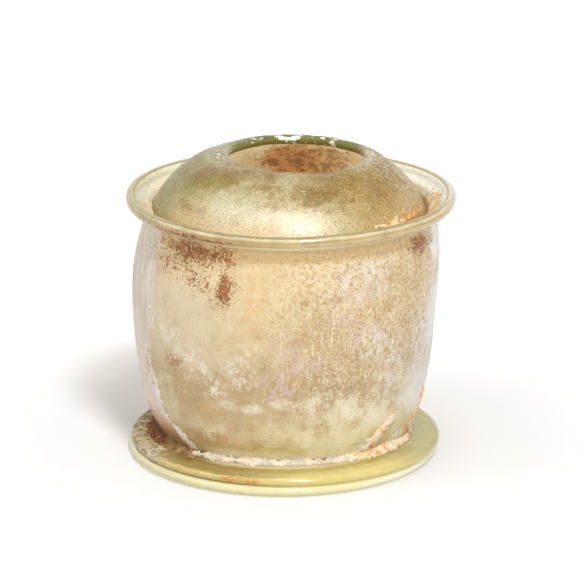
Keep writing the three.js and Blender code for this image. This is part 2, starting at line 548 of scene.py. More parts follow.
def by_height(p, mottle):
    """A tan band below the rim, a pale left side, olive, brown and pale places toward the foot, and a pale
    band above the foot in front, partly crust and partly painted light.
    """
    p.lay((224, 209, 178), p.arc(-130, -110, -36, -10), (p.z, 60, 46), (p.z, 26, 34), 0.6)
    p.lay((214, 179, 121), (p.ragged(p.z, 3), 57.0, 58.2), (mottle, 0.7, 0.3, 0.3, 0.9))
    p.lay((210, 190, 124), (p.ragged(p.z, 5), 15, 10), (mottle, 0.4, 0.56, 0.2, 0.8))
    brown = p.both(p.arc(-120, -90, -30, -8), (p.z, 17, 10))
    p.lay((178, 140, 88), brown, (mottle, 0.62, 0.4, 0.3, 1), 0.65)
    pale = p.both(p.arc(0, 24, 90, 130), (p.z, 24, 17))
    p.lay((238, 226, 186), pale, (mottle, 0.62, 0.42), 0.75)
    light = p.spots(
        (-55, 20, 7, 5), (-28, 13, 5, 2), (14, 12.5, 24, 4.5), (36, 15, 10, 5), rag=1.4, soft=1.6
    )
    p.lay((234, 220, 174), light, (mottle, 0.62, 0.4, 0.25, 0.85))
    p.lay((214, 184, 104), p.arc(-40, -24, 0, 14), (p.ragged(p.z, 4), 11.5, 8.5), 0.7)
    p.lay((242, 240, 222), p.arc(44, 62, 112, 150, rag=20), (p.z, 34, 20), 0.85)
    gold = p.spots((52, 12, 13, 4.5), (-14, 9, 14, 2.2), rag=1.4, soft=1.4)
    p.lay((210, 186, 104), gold, (mottle, 0.36, 0.56, 0.4, 1), 0.85)
    stained = p.spots((-34, 13, 12, 2.6), (-16, 10.5, 12, 1.8), rag=2, soft=1.4)
    p.lay((184, 136, 76), stained, (mottle, 0.46, 0.6), 0.65)
    # The pale band above the foot in front is partly crust and partly painted light, as if thrown up from
    # the foot's glass onto the wall.
    crust_and_lit_band = p.ragged(p.z, 2.0)
    front = p.arc(-38, -28, 30, 44, rag=8)
    p.lay((246, 228, 184), front, (crust_and_lit_band, 10.2, 8.4), (mottle, 0.66, 0.44, 0.3, 0.95))
    p.lay((244, 234, 210), front, (crust_and_lit_band, 8.4, 7.4), 0.85)


def broken_patches(p, mottle, fine):
    """Lilac, white and cream patches, upright scratches on the right, and flecks of white and orange."""
    broken = p.range(p.noise(1.5, 7, 0.75, stretch=(1, 1, 1.5), seed=5), 0.45, 0.57)
    lilac = p.spots(
        (1, 37.5, 5, 2.5), (4, 32.5, 6, 3), (20, 43, 7, 2), (12, 32.5, 3, 2), (34, 38, 8, 4),
        (-2, 27, 6, 4), rag=2.4, soft=1.2,
    )
    p.lay((216, 188, 186), lilac, broken, 0.75)
    pale = p.spots(
        (-57, 38.5, 8, 2.6), (-48, 36.5, 7, 2.2), (-39, 33.6, 6, 2.2), (-33, 30, 4, 2.4), (-27, 26, 4, 2.6),
        (-17, 30, 6, 3), (-140, 33, 14, 6), (150, 42, 12, 7), (124, 26, 12, 6), rag=2.6, soft=1.4,
    )
    p.lay((242, 230, 212), pale, broken, 0.85)
    white = p.spots(
        (-23, 21.4, 5, 1.2), (-13, 21, 6, 1), (2, 22.5, 6, 1.2), (14, 22.6, 11, 2.6), (27, 20.5, 8, 3),
        (37, 17.5, 7, 3), (44, 22, 8, 7), (-150, 20, 16, 4), (140, 18, 18, 4), rag=2.2, soft=1.2,
    )
    p.lay((240, 231, 202), white, (mottle, 0.6, 0.4, 0.15, 0.85))
    clouds = p.spots((35, 36, 6, 4), (46, 30, 7, 6), (62, 32, 7, 12), (30, 52, 14, 5), rag=2.2, soft=1)
    p.lay((240, 232, 228), clouds, broken, 0.72)
    tan = p.spots((44, 48, 12, 5), (17, 38, 9, 5), (12, 40, 7, 4), rag=1.6, soft=1.6)
    p.lay((196, 164, 114), tan, (mottle, 0.4, 0.6, 0.15, 0.8))

    scratches = p.range(p.noise(0.5, 2, 0.5, stretch=(1, 1, 16), seed=7), 0.6, 0.68)
    scratched = p.spots((22, 40, 26, 12), (20, 26, 22, 7), rag=2, soft=1.4)
    p.lay((244, 232, 202), scratches, scratched, 0.6)
    flecks = p.range(p.noise(0.9, 2, 0.5, seed=8), 0.69, 0.75)
    flecked = p.spots((0, 26, 34, 13), (40, 38, 18, 8), (-140, 28, 20, 12), (140, 30, 20, 14), rag=1.5)
    p.lay((250, 243, 228), flecks, flecked, 0.8)
    orange = p.spots(
        (-8, 56.5, 4, 0.6), (-12, 48, 3, 7), (-9, 15.7, 2.4, 1), (5, 28.5, 1.6, 1.6), (-20, 12, 7, 2),
        (-30, 19, 4, 2), rag=2.5, soft=1.4,
    )
    p.lay((238, 182, 116), orange, (fine, 0.47, 0.6, 0, 0.8))


def rusted(p):
    """Rust in fine specks: below the rim on the left, in a patch on the right, and in two behind."""
    thick = p.spots(
        (-39, 58.8, 15, 2.6), (-28, 58.6, 8, 2.8), (-24.5, 50, 2.6, 3.4), (-45, 62.6, 18, 1.0),
        (-27, 62.5, 8, 0.8), (60, 57.6, 7, 2.2), (-148, 57, 14, 3), (122, 54, 10, 4), rag=1.8, soft=1.5,
    )
    thin = p.spots(
        (-47, 56, 17, 4.4), (-36, 53, 11, 4.6), (-25, 50.5, 6, 6), (-47, 30.6, 5, 2.2), (59, 56.6, 9, 3.4),
        (-44, 62.8, 26, 1.4), (-146, 52, 20, 7), (124, 50, 16, 9), rag=1.8, soft=1.3,
    )
    there = p.either(thick, thin)
    specks = p.scaled(p.noise(0.5, 3, 0.65, seed=9), 0.62)
    for clouds, share in ((p.noise(2.4, 4, 0.7, seed=14), 0.38), (thick, 0.1), (thin, 0.058)):
        specks = p.scaled(clouds, share, specks)
    p.lay((212, 164, 102), (specks, 0.53, 0.61), there, 0.7)
    shade = p.swayed(p.noise(1.3, 5, 0.7, seed=10), thick, 0.1)
    shade = p.ramp(shade, (0.34, 208, 142, 70), (0.46, 176, 102, 44), (0.6, 116, 60, 24))
    rust = p.both((specks, 0.595, 0.625), there)
    p.lay(shade, rust, 0.92)
    return rust


def flaked_left(p, broad):
    """Left of a jagged edge the deposit has flaked off the grey, lined glass, which is soiled below."""
    edge = p.ramp(p.z, *[(z, (turn - EDGE_LEAST) / EDGE_SPAN) for z, turn in FLAKED_EDGE])
    edge = p.scaled(edge, EDGE_SPAN, EDGE_LEAST)
    beyond = p.math("SUBTRACT", edge, p.ragged(p.turn, 5.0))
    sharp = p.range(p.z, 34, 26, 4.5, 0.8)
    back_edge = p.ragged(p.swayed(p.turn, broad, 90), 30)
    behind = p.both((back_edge, -120, -113), (p.turn, -156, -140))
    island = p.both((p.noise(5.5, 6, 0.66, seed=13), 0.55, 0.59), (p.turn, -74, -86))
    flaked = p.range(beyond, p.scaled(sharp, -0.5), sharp)
    flaked = p.both(flaked, behind, p.without(island))
    lines = p.noise(1.0, 4, 0.6, stretch=(1, 1, 18), seed=11)
    grey = p.ramp(
        lines, (0.3, 206, 194, 170), (0.45, 224, 213, 196), (0.56, 238, 226, 214), (0.7, 250, 242, 238)
    )
    grey = p.mix(grey, tone(250, 234, 218), p.both((p.z, 42, 30), 0.75))
    low = p.ragged(p.z, 5.0)
    soil = p.ramp(low, (7, 136, 90, 52), (9.5, 176, 126, 80), (12, 216, 172, 128), (15.5, 240, 218, 198))
    p.lay(p.mix(grey, soil, p.range(low, 17, 13)), flaked, 0.88)
    lip = p.both((beyond, -1.8, -0.4), (beyond, 4.6, 1.2), (p.z, 34, 20, 0.35, 1))
    p.lay(p.ramp(p.z, (7, 206, 160, 112), (11, 232, 208, 176), (17, 246, 238, 226)), lip, 0.9)
    return flaked, lines


def rim_glass(p):
    """The pale green glass of the flare and its rolled edge, with a painted highlight and painted dark
    lines along the edge that follow its waves.
    """
    radians = p.scaled(p.turn, math.pi / 180)
    wave = 0.0
    for height, count, phase in reversed(RIM_WAVES):
        swing = p.math("SINE", p.scaled(radians, count, phase - count * math.pi / 2))
        wave = p.scaled(swing, -height, wave)
    drawn = p.noise(4, 4, 0.6, stretch=(2, 2, 0.5), seed=12)
    # Bands round the rolled edge by height: painted dark lines, a painted highlight near its top, and paler
    # and tan glass between.
    roll_with_painted_lines = p.ramp(
        p.swayed(p.math("ADD", p.z, wave), drawn, 0.7),
        (62.2, 214, 194, 134), (62.7, 228, 206, 150), (63.2, 244, 230, 182), (63.7, 232, 212, 156),
        (64.05, 210, 182, 116), (64.4, 248, 236, 196), (64.75, 248, 240, 204), (64.95, 184, 168, 106),
        (65.2, 212, 194, 136),
    )
    flat = p.ramp(drawn, (0.35, 244, 236, 198), (0.52, 236, 224, 178), (0.7, 220, 198, 142))
    flare = p.range(p.radius, 38.2, 37.6)
    p.colour = p.mix(roll_with_painted_lines, flat, flare)
    p.lay((240, 238, 224), flare, p.either(p.arc(20, 70, 120, 170), 0.25))
    p.lay((234, 230, 206), (p.y, 2, 18), 0.7)
    p.lay((204, 198, 156), p.arc(-130, -110, -66, -44), (drawn, 0.6, 0.42, 0.4, 1), 0.8)
    crumbly = p.noise(0.8, 5, 0.7, seed=15)
    p.lay((242, 232, 210), flare, p.arc(-130, -110, -60, -40), (crumbly, 0.5, 0.6), 0.7)
    orange = p.both(p.arc(14, 40, 100, 140, rag=12), (p.ragged(p.radius, 4.0), 37.4, 35.6))
    p.lay((230, 198, 150), orange, (crumbly, 0.4, 0.54), 0.85)
    tan = p.spot(-28, 62.8, 20, 1.1, rag=0.8, soft=1.2)
    p.lay((190, 150, 92), tan, (drawn, 0.36, 0.52, 0.5, 1), 0.45)
    p.lay((238, 236, 222), p.arc(58, 86, 120, 150), 0.75)
    # Painted shade: a dark line in the crease where the rolled edge meets the flare.
    seam = p.both((p.radius, 38.3, 38.1), (p.radius, 37.5, 37.7), (p.z, 64.2, 64.5))
    p.lay((158, 140, 66), seam, 0.85)


def vessel_outside():
    """Cream and tan weathering, stained with rust below the rim, and clear where the mouth flares."""
    p = Paint("vessel_outside")
    broad = p.noise(15, 4, 0.6, seed=1)
    mottle = p.noise(4.5, 7, 0.68, seed=2)
    fine = p.noise(0.85, 5, 0.7, seed=3)
    rough_side = cream_and_tan(p, broad, mottle, fine)
    by_height(p, mottle)
    broken_patches(p, mottle, fine)
    grain = p.noise(0.36, 3, 0.7, seed=4)
    grained = p.scaled(rough_side, 0.75, 0.1)
    p.lay((166, 128, 80), (grain, 0.52, 0.68, 0, 0.7), grained)
    p.lay((252, 244, 222), (grain, 0.47, 0.32, 0, 0.7), grained)
    flaked, lines = flaked_left(p, broad)
    # A near-white zone on the right of the body: partly whitish film, partly a painted reflection of the
    # bright room along the glass's edge.
    film_and_edge_sheen = p.range(p.scaled(mottle, 0.4, broad), 0.78, 0.6, 0.2, 1)
    p.lay((247, 246, 243), p.arc(60, 76, 90, 124, rag=30), film_and_edge_sheen, 0.94)
    rim = p.range(p.ragged(p.z, 0.5), 60.7, 61.2)
    body = p.colour
    rim_glass(p)
    p.colour = p.mix(body, p.colour, rim)
    rust = rusted(p)

    film = p.range(mottle, 0.25, 0.75, 0.97, 0.84)
    film = p.toward(film, 0.7, flaked, (lines, 0.6, 0.4), (p.z, 10, 14))
    film = p.mix(film, p.range(mottle, 0.3, 0.6, 0.42, 0.6), rim)
    roughness = p.toward(p.range(fine, 0.3, 0.7, 0.36, 0.62), 0.06, rim)
    height = p.math("ADD", p.both(fine, rough_side, 1.2), p.both(mottle, 0.8))
    height = p.scaled(rust, 1.5, height)
    height = p.scaled(p.both(grain, grained), 0.9, height)
    height = p.both(height, p.math("SUBTRACT", 1.1, rim))
    return p.glass(film, roughness, height, 0.1)


def clear_glass(name, *colour):
    """Clean glass with a faint ripple."""
    p = Paint(name)
    p.colour = tone(*colour)
    return p.glass(0.02, 0.05, p.noise(9, 2, 0.4, seed=4), 0.08)


def dome_colours(p, broad, mottle, fine):
    """Olive and brown glass by the distance from the hole, a pale front and pale patches left of it that
    are partly deposit and partly painted highlight, mossy left, warm right.
    """
    p.colour = p.ramp(
        p.swayed(p.radius, broad, 7.0),
        (18, 168, 150, 102), (20.5, 146, 122, 68), (23.5, 150, 126, 68), (26, 170, 152, 98),
        (29, 198, 182, 132), (33, 214, 194, 142),
    )
    patch = p.scaled(mottle, 0.6, broad)
    p.lay((138, 106, 40), (patch, 0.78, 0.88, 0, 0.85), (p.z, 64, 68))
    p.lay((204, 194, 152), (patch, 0.76, 0.66, 0, 0.55))
    p.lay((126, 100, 38), (fine, 0.54, 0.68, 0, 0.6))
    p.lay((156, 152, 102), p.arc(-150, -130, -72, -54), (mottle, 0.66, 0.4, 0.35, 0.85))
    # The pale front and the two pale patches left of it are partly deposit and partly painted highlight.
    front = p.both(p.arc(-56, -26, 4, 36, rag=12), (p.ragged(p.z, 4.5), 70.2, 66.8))
    p.lay((240, 230, 202), front, (broad, 0.3, 0.55, 0.55, 0.9))
    p.lay((222, 222, 188), p.spots((-36, 69.3, 9, 1.8), (-22, 68.8, 10, 2.4), rag=1.2, soft=1.6), 0.5)
    p.lay((226, 196, 148), p.arc(-70, -50, -8, 6), (p.ragged(p.z, 3), 66.4, 64.6), 0.5)
    dark = p.spots(
        (33, 72.9, 16, 1.4), (54, 69.6, 11, 2.2), (-62, 71.6, 10, 1.6), (22, 71, 9, 0.8), rag=1.4, soft=1.4
    )
    p.lay((128, 96, 22), dark, 0.85)
    moss = p.spots((-64, 69.6, 12, 1.6), (-48, 71.6, 8, 1.2), (-80, 67.6, 9, 1.6), rag=1.6, soft=1.4)
    p.lay((146, 138, 60), moss, (mottle, 0.36, 0.56, 0.3, 1), 0.7)
    p.lay((200, 186, 146), p.spots((-24, 73.2, 10, 0.8), (4, 73.0, 14, 0.7), rag=1.4, soft=1.4), 0.45)
    p.lay((174, 134, 62), p.arc(12, 44, 100, 150), (mottle, 0.62, 0.38, 0.35, 1), 0.65)
    p.lay((222, 170, 108), p.arc(34, 60, 110, 150), (fine, 0.5, 0.6), (p.z, 71, 66), 0.7)
    scratches = p.noise(0.4, 2, 0.5, stretch=(7, 2, 1), seed=24, distortion=0.6)
    scratched = p.spots((-8, 71.9, 14, 1.0), (10, 71.4, 12, 1.2), rag=0.8)
    p.lay((228, 222, 200), (scratches, 0.64, 0.68), scratched, 0.6)


def dome_details(p, fine):
    """Pale grit round the hole, specks, glints and grain, green glass at the back of the hole and painted
    highlights on its lip.
    """
    ends = p.either(p.arc(-150, -110, -70, -40), p.arc(36, 62, 110, 150), 0.25)
    ring = p.both((p.ragged(p.radius, 3.0), 22.0, 19.6), (p.y, 14, 6), ends)
    p.lay((206, 202, 180), ring, (fine, 0.46, 0.58, 0.05, 0.9))
    back = p.both((p.ragged(p.radius, 2.0), 21.5, 19.5), (p.y, 3, 9))
    p.lay((164, 172, 84), back, 0.9)
    p.lay((122, 92, 48), (p.noise(0.7, 3, 0.6, seed=25), 0.64, 0.69), (p.z, 62, 64), 0.75)
    glints = p.range(p.noise(0.42, 2, 0.5, seed=26), 0.73, 0.77)
    p.lay((246, 243, 228), glints, (p.z, 66, 70), 0.8)
    grain = p.noise(0.4, 4, 0.75, seed=27)
    p.lay((134, 104, 40), (grain, 0.5, 0.64), p.without(back), 0.62)
    p.lay((240, 228, 180), (grain, 0.47, 0.34), p.without(back), 0.5)
    # Painted whitish-green glints along the dome's right side.
    ridge = p.both(p.arc(60, 76, 100, 120, rag=10), (p.noise(1.2, 5, 0.68, seed=30), 0.53, 0.59))
    p.lay((216, 220, 190), ridge, (p.z, 63, 65), 0.75)
    lip = p.both((p.y, 11, 14), (p.radius, 21.2, 20.0))
    dark = p.range(p.noise(2.6, 5, 0.65, stretch=(2.2, 1, 1), seed=29), 0.5, 0.6)
    p.lay((126, 120, 40), lip, dark, 0.7)
    # Painted highlights on the lip at the back of the hole, where the glass looks wet.
    painted_highlight = p.both(lip, (p.noise(1.5, 4, 0.62, stretch=(2.6, 1, 1), seed=28), 0.53, 0.58))
    p.lay((252, 252, 244), painted_highlight, 0.92)
    return grain, back, painted_highlight


def lid_outside():
    """Olive glass with brown patches, a pale front that is partly painted highlight, and painted highlights
    on the lip at the back of the hole.
    """
    p = Paint("lid_outside")
    broad = p.noise(10, 5, 0.62, seed=21)
    mottle = p.noise(2.8, 7, 0.7, seed=22)
    fine = p.noise(0.8, 4, 0.7, seed=23)
    dome_colours(p, broad, mottle, fine)
    grain, back, painted_highlight = dome_details(p, fine)
    film = p.toward(p.range(mottle, 0.25, 0.75, 0.94, 0.72), 0.3, back)
    film = p.toward(film, 0.95, painted_highlight)
    roughness = p.toward(p.range(fine, 0.3, 0.7, 0.26, 0.44), 0.04, back)
    height = p.math("ADD", p.both(grain, 0.3), p.scaled(fine, 0.6, mottle))
    return p.glass(film, roughness, height, 0.06, LID_LETS)


def upper_disc_outside():
    """Glossy olive yellow, darker beside the collar, with a painted highlight along its edge and one beside
    the collar, painted shade along the edge at the left, and brown dirt and dust at the left.
    """
    p = Paint("upper_disc_outside")
    mottle = p.noise(2.4, 7, 0.7, stretch=(2, 2, 0.8), seed=40)
    out = p.swayed(p.radius, mottle, 1.6)
    p.colour = p.ramp(
        out, (31, 186, 168, 84), (33.2, 196, 178, 94), (35, 222, 210, 142), (37.6, 222, 208, 134)
    )
    p.lay((166, 134, 68), (mottle, 0.56, 0.74, 0, 0.7))
    # Painted shade along the disc's edge on the left.
    p.lay((144, 116, 48), p.arc(-170, -150, -28, 14), (p.radius, 37.1, 36.3, 0.35, 1), 0.8)
    # Painted highlight along the swollen top of the edge.
    painted_highlight = p.both((out, 36.1, 36.5), (out, 37.1, 36.8), (p.z, 3.4, 3.9))
    p.lay((238, 214, 142), painted_highlight, 0.7)
    # Painted highlight beside the collar, in front.
    p.lay((232, 214, 170), p.arc(-40, -28, 34, 50), (out, 32.6, 31.9), 0.85)
    p.lay((184, 178, 122), p.arc(40, 62, 150, 170), (p.z, 3.4, 4.2), 0.85)
    p.lay((136, 108, 62), (p.z, 3.2, 2.8), p.arc(-170, -150, -26, 6), 0.9)
    speck = p.noise(0.6, 4, 0.7, seed=41)
    orange = p.spots((-19, 3.7, 5, 0.7), (-12, 3.5, 3, 0.5), rag=2)
    p.lay((206, 136, 66), orange, (p.z, 4.8, 4.4), (speck, 0.44, 0.54))
    p.lay((128, 98, 50), (speck, 0.6, 0.66), (mottle, 0.48, 0.58), 0.7)
    dusty = p.both(p.arc(-168, -140, -66, -44, rag=12), (p.z, 3.2, 3.8))
    dust = p.ramp(
        speck, (0.34, 226, 212, 180), (0.46, 188, 168, 120), (0.56, 146, 122, 70), (0.68, 100, 76, 40)
    )
    p.lay(dust, dusty, 0.9)
    patches = p.noise(2.6, 5, 0.7, seed=42)
    p.lay((228, 220, 202), dusty, (patches, 0.54, 0.6), 0.8)
    p.lay((118, 94, 44), dusty, (patches, 0.45, 0.38), 0.7)
    film = p.toward(p.range(mottle, 0.3, 0.7, 0.6, 0.8), 0.96, dusty)
    roughness = p.toward(p.range(mottle, 0.3, 0.8, 0.06, 0.2), 0.62, dusty)
    return p.glass(film, roughness, p.math("ADD", mottle, p.both(speck, dusty)), 0.06)


def lower_disc_outside():
    """Clear pale yellow glass with streaks, cloudier at the right."""
    p = Paint("lower_disc_outside")
    streaks = p.noise(1.4, 5, 0.65, stretch=(2.5, 2.5, 0.7), seed=44)
    p.colour = p.ramp(streaks, (0.3, 255, 251, 214), (0.52, 254, 246, 198), (0.7, 245, 231, 168))
    p.lay((252, 251, 240), p.arc(20, 60, 120, 160), 0.7)
    film = p.toward(p.range(streaks, 0.3, 0.7, 0.6, 0.8), 0.94, p.arc(10, 50, 120, 160), 0.8)
    return p.glass(film, p.range(streaks, 0.3, 0.8, 0.05, 0.16), streaks, 0.03)


# How dark the clots in a stain are against the stain
CLOT_SHADE = 0.68


def deposit(name, colours, size, seed, lets=0.88, sheer=0.0, blobs=()):
    """Dry earth, blotched from one colour to another, with darker spots in a third and pale grain in a
    fourth. Each blob is a middle, a reach and a colour."""
    p = Paint(name)
    broad = p.noise(size, 6, 0.66, seed=seed)
    grain = p.noise(0.7, 4, 0.65, seed=seed + 1)
    clots = p.noise(2.4, 6, 0.75, seed=seed + 3) if blobs else None
    p.colour = p.mix(tone(*colours[0]), tone(*colours[1]), p.range(broad, 0.4, 0.6))
    for middle, reach, stain in blobs:
        there = p.blob(middle, reach)
        p.lay(stain, there, 0.85)
        p.lay(tuple(c * CLOT_SHADE for c in stain), there, (clots, 0.46, 0.58), 0.8)
    spots = p.scaled(grain, 0.5, p.noise(size * 0.4, 5, 0.7, seed=seed + 2))
    p.lay(colours[2], (spots, 0.78, 0.9), 0.8)
    p.lay(colours[3], (grain, 0.56, 0.7, 0, 0.55))
    return p.earth(0.85, p.math("ADD", grain, broad), 0.25, lets, sheer)


# How far whiter an encrusted surface is outside its warm arc
WARM_SHIFT = 0.14


def encrusted(name, seed, *stops, size=3.0, warm=None):
    """Hard lime crust, from white to orange and brown, with a pitted surface. warm names the arc of turns
    that has the full share of orange."""
    p = Paint(name)
    patch = p.noise(size, 6, 0.66, seed=seed)
    grain = p.noise(0.45, 4, 0.7, seed=seed + 1)
    if warm:
        patch = p.scaled(p.arc(*warm), WARM_SHIFT, p.math("SUBTRACT", patch, WARM_SHIFT))
    p.colour = p.ramp(p.swayed(patch, grain, 0.35), *stops)
    return p.earth(0.7, grain, 0.12)


def hollow_soil():
    """Brown soil in clots, dark in the hollow and paler where it thins out."""
    p = Paint("hollow_soil")
    clots = p.noise(1.8, 6, 0.7, seed=50)
    p.colour = p.ramp(
        p.swayed(p.math("ADD", p.z, 6.0), clots, 12.0),
        (8.5, 204, 162, 112), (10.5, 166, 116, 68), (12.5, 108, 66, 36), (15.5, 176, 128, 82),
    )
    rings = p.math("SINE", p.ragged(p.scaled(p.radius, 6.5), 7.0))
    p.lay((78, 46, 26), (rings, 0.1, 0.9), (clots, 0.36, 0.6), 0.7)
    p.lay((178, 144, 92), p.arc(-72, -54, -30, -20, rag=14), (clots, 0.62, 0.4, 0.2, 0.85))
    grain = p.noise(0.7, 4, 0.7, seed=51)
    p.lay((226, 196, 158), (grain, 0.6, 0.7, 0, 0.5))
    return p.earth(0.8, p.math("ADD", clots, grain), 0.3)


def lined(rows):
    """The outline of a thin deposit that lies just off the glass on the outer side of the rows' course."""
    near = moved_out(rows, AIR)
    far = moved_out(rows, AIR + LINING)
    return np.vstack([near[::-1], far]), [0] * (len(near) - 1) + [1] * (len(far) + 1)


def build_vessel():
    """The vessel's glass and the earthy lining inside it."""
    rows = refined(outline("vessel"))
    inside = from_highest(rows)
    kinds = [int(k >= inside + RIM_ROWS) for k in range(len(rows))]
    materials = [vessel_outside(), clear_glass("vessel_inside", 240, 238, 216)]
    glass = turned("vessel_glass", rows, vessel_form, materials, *VESSEL, kinds=kinds)
    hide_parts("vessel")

    hollow = rows[inside:]
    lining, kinds = lined(hollow[np.argmax(hollow[:, 1] < LINING_TOP) :])
    seen = deposit(
        "vessel_lining", ((226, 202, 158), (206, 176, 124), (176, 134, 78), (238, 224, 192)), 9, 20
    )
    hidden = deposit(
        "vessel_lining_inside", ((240, 210, 162), (222, 182, 130), (164, 114, 72), (246, 226, 188)), 8, 24,
        lets=0.5, sheer=0.5,
    )
    turned("vessel_lining", lining, vessel_form, [seen, hidden], *VESSEL, kinds=kinds)
    return rows


# Brown stains inside the dome: middle, reach and colour
DOME_STAINS = [
    ((4, 25, 67), 10, (244, 202, 150)),
    ((0, 26, 65), 7, (220, 160, 110)),
    ((-28, -12, 67), 6, (226, 176, 120)),
    ((22, -14, 66), 9, (214, 164, 112)),
    ((-6, -27, 66), 8, (226, 180, 126)),
]


def build_lid():
    """The lid's glass and the stained deposit under its dome."""
    rows = refined(outline("lid"), closed=True)
    rows[:, 2] += LID_DRIFT
    top = from_highest(rows)
    low = int(np.argmin(rows[:, 1]))
    kinds = [int(top + HOLE_ROWS < k < low) for k in range(len(rows))]
    materials = [lid_outside(), clear_glass("lid_inside", 236, 232, 196)]
    glass = turned("lid_glass", rows, lid_form, materials, *LID, closed=True, kinds=kinds)
    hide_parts("lid")

    under = cut(rows[top:low], inner=18.0, low=61.2, high=rows[top, 1] - LINING_BELOW_TOP)
    lining, kinds = lined(under)
    seen = deposit(
        "lid_lining", ((210, 188, 118), (186, 152, 86), (146, 110, 58), (234, 218, 170)), 7, 30, lets=0.95
    )
    hidden = deposit(
        "lid_lining_inside", ((254, 244, 224), (246, 222, 184), (160, 98, 60), (254, 248, 232)), 6, 34,
        lets=0.9, sheer=0.8, blobs=DOME_STAINS,
    )
    turned("lid_lining", lining, lid_form, [seen, hidden], *LID, closed=True, kinds=kinds)
    return rows


def build_foot():
    """The foot's two discs."""
    upper = refined(outline("foot_upper_disc"))
    lower = refined(outline("foot_lower_disc"))
    upper[:, 1] = np.maximum(upper[:, 1], DISC_JOINT + JOINT_GAP)
    lower[:, 1] = np.maximum(lower[:, 1], 0)
    discs = (("upper", upper, upper_disc_outside()), ("lower", lower, lower_disc_outside()))
    for name, rows, glass in discs:
        made = turned("foot_" + name + "_glass", rows, disc_form, [glass], "base", name + "_foot_glass")
        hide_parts("foot_" + name + "_disc")
    return upper


# The seam of vessel and foot: its height on the wall and its radius on the upper disc, and the height
# where the wall begins
SEAM_HEIGHT = 6.4
SEAM_RADIUS = 31.2
WALL_START = 5.9

# Tongues of crust on the wall above the foot: upright ones by turn, height of the tip and half width in
# degrees, and slanting ones by the turns and heights that they pass through
TONGUE_FOOT = 6.6
UPRIGHT_TONGUES = [
    (-12, 7.8, 4), (-24, 7.6, 3), (18, 7.6, 5), (84, 9, 6), (-126, 9.5, 7), (150, 9, 12), (-150, 8.6, 10),
]
SLANTING_TONGUES = [
    [(37, 6.9), (40.5, 8.6), (43.5, 10.6), (47, 12.6), (50.5, 14.6)],
    [(58, 6.9), (66, 8.4), (71.6, 10.6), (75, 13.6), (76.9, 17.5)],
]
SLANTING_SPAN = (26, 84)
MM_PER_DEGREE = 0.58


def away_from(line, t, z):
    """The distance in millimetres of a place on the wall from a line of turns and heights."""
    least = math.inf
    for (t0, z0), (t1, z1) in zip(line, line[1:]):
        start, run = np.array([t0 * MM_PER_DEGREE, z0]), np.array([(t1 - t0) * MM_PER_DEGREE, z1 - z0])
        here = np.array([t * MM_PER_DEGREE, z]) - start
        share = np.clip(here @ run / (run @ run), 0, 1)
        least = min(least, np.linalg.norm(here - share * run))
    return least


def junction_crust(t, place, radius):
    """A crust in the seam of vessel and foot, with tongues up the wall and crumbs on the disc."""
    ragged = rough(place, 1.2)
    soiled = within(t, -116, -104, -50, -44)
    on_wall = place.z > WALL_START
    band = hills(t, 0.9, (0.8, -14, 34), (0.8, 16, 30), (0.5, 66, 26), (1.2, 46, 20))
    away = abs(place.z - SEAM_HEIGHT) / band if on_wall else abs(radius - SEAM_RADIUS) / 0.9
    seam = 0.2 - 0.3 * away + 0.1 * rough(Vector((t / 9, 3, 0)), 1, 2)
    if not on_wall and radius < SEAM_RADIUS + 0.3:
        return seam + 0.06 + 0.06 * ragged - soiled
    if not on_wall:
        crumbs = hills(t, rough(place, 0.9, 3) - 0.72, (0.4, -75, 40), (0.3, 62, 26))
        wide = 0.5 * bump(t, 56, 24)
        spread = seam + wide * (1 - (radius - SEAM_RADIUS) / 2)
        return max(spread + (0.07 + 0.2 * wide) * ragged - soiled, 0.6 * crumbs)
    tip = TONGUE_FOOT
    for turn, height, half in UPRIGHT_TONGUES:
        tip = max(tip, TONGUE_FOOT + (height - TONGUE_FOOT) * bump(t, turn, half))
    depth = max(seam + 0.1 * ragged, min(0.3, 0.4 * (tip - place.z) + 0.3 * ragged))
    if SLANTING_SPAN[0] < t < SLANTING_SPAN[1]:
        wide = 3.3 - 0.2 * (place.z - 7)
        for line in SLANTING_TONGUES:
            depth = max(depth, 0.6 * (1 - away_from(line, t, place.z) / wide) + 0.2 * ragged - 0.06)
    return depth - soiled


def edge_crust(t, place, radius):
    """A raised lip where the deposit has flaked off the wall's left side."""
    heights, turns = zip(*FLAKED_EDGE)
    middle = float(np.interp(place.z, heights, turns)) - 1.2 + 2.2 * rough(place, 3.5, 3)
    width = 3.2 * (1 - smooth(place.z, 16, 32)) + 0.3
    return 0.2 * (1 - abs(t - middle) / width) + 0.12 * rough(place, 0.8, 4)


def soil(t, place, radius):
    """Soil in the hollow between the vessel's left side and its foot."""
    there = within(t, -120, -96, -46, -40)
    ragged = rough(place, 2.2, 5)
    if place.z > WALL_START:
        top = 7.6 + 1.6 * bump(t, -62, 24)
        return there * (min(0.3, 0.14 * (top - place.z)) + 0.12 * ragged) - 0.03
    out = 33.7 + 2.2 * bump(t, -92, 34) - radius
    return there * (min(0.34, 0.16 * out) + 0.22 * ragged + 0.14 * rough(place, 0.7, 3)) - 0.04


def seam_crust(t, place, radius):
    """Lime along the upper disc's edge on the left."""
    there = hills(t, 0, (0.5, -82, 40), (0.4, -57, 9), (0.36, -70, 8), (0.15, 150, 50))
    return 0.24 * (there - 0.46 + 0.3 * rough(place, 2.4, 3) + 0.3 * rough(place, 0.6, 3))


def gutter(t, place, radius):
    """Deposit round the flare, just outside the lid."""
    there = hills(t, 0, (0.96, 70, 58), (0.62, -80, 34), (0.4, 160, 40), (0.35, -150, 30))
    slope = 1 - smooth(radius, 33.4, 36.4)
    return (0.55 * slope + 0.1) * (there - 0.3) + 0.16 * rough(place, 0.8, 4) * (0.5 + slope) - 0.03


